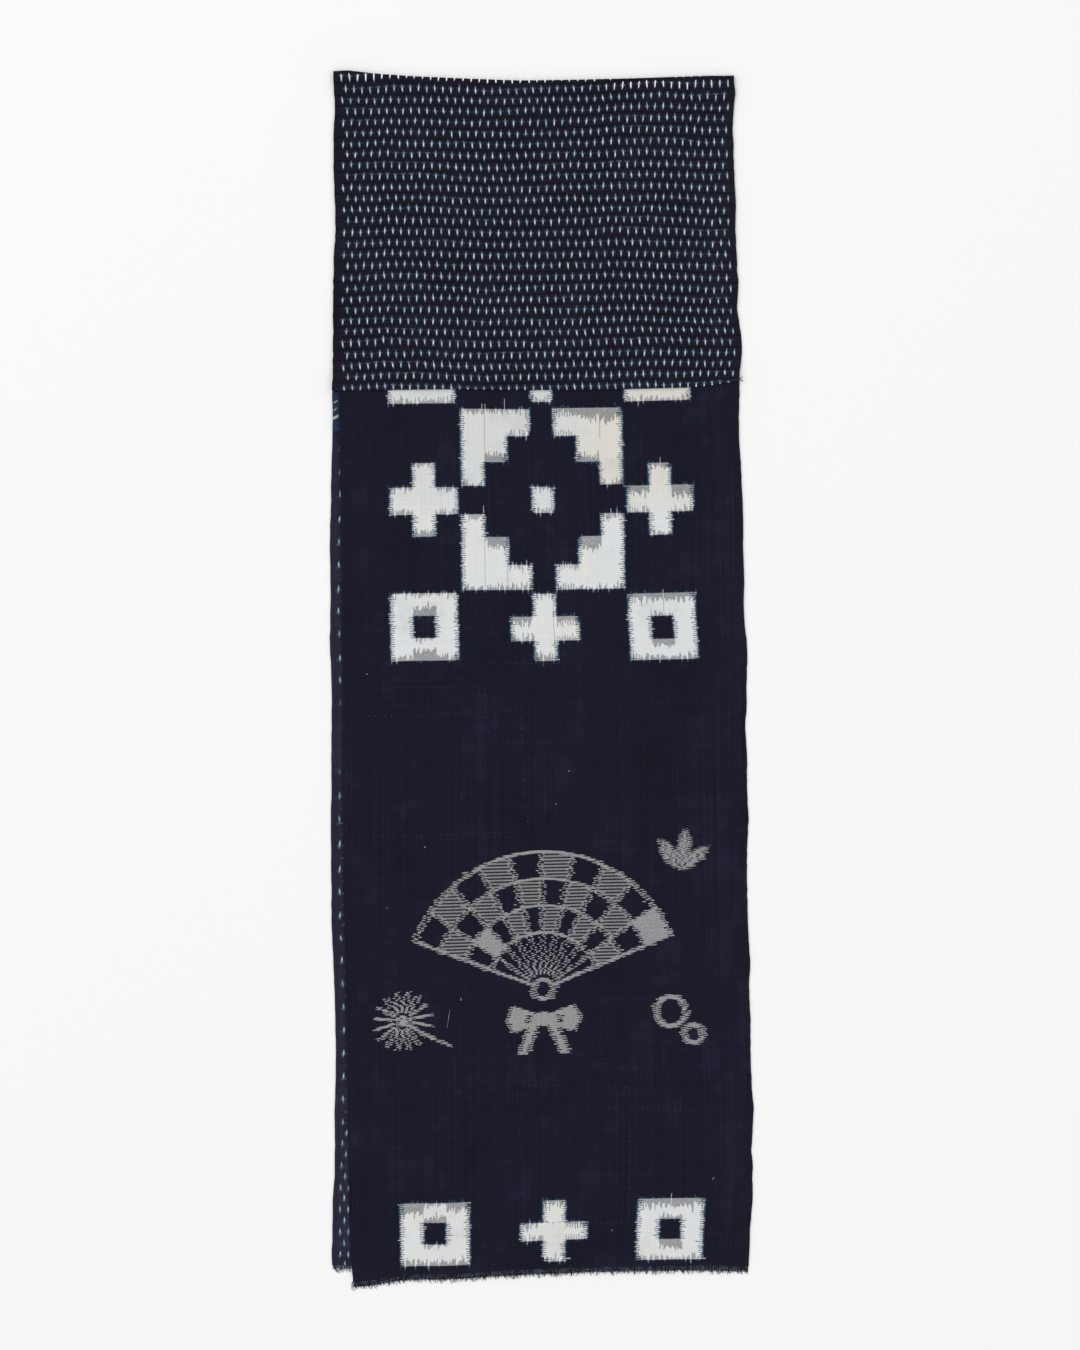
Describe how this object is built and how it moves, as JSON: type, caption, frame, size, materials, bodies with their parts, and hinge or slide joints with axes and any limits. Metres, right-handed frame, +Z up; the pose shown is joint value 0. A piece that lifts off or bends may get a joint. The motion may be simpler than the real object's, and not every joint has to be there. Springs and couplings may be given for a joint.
{
  "type": "boro scarf, folded and laid flat",
  "caption": "Long pieced indigo cotton scarf with woven resist patterns, hemmed seam, mending stitches and frayed ends, folded once and laid flat.",
  "frame": {"origin": "centre of the folded scarf's outline, on the surface that it lies on", "axes": "+X across the cloth to the right, +Y along it towards the fold, +Z up from the surface"},
  "size_m": [0.3712, 1.0708, 0.0056],
  "materials": {
    "cross_cotton": "matt handwoven indigo cotton with small pale woven crosses",
    "block_cotton": "matt handwoven dark indigo cotton with large white woven blocks",
    "scrap_cotton": "matt mid-blue cotton with cream dashes",
    "frayed_cotton": "loose cotton threads"
  },
  "bodies": {
    "root": {"cross_cloth": "cross_cotton", "block_cloth": "block_cotton", "blue_scrap": "scrap_cotton", "front_fray": "frayed_cotton", "back_fray": "frayed_cotton"}
  },
  "joints": []
}
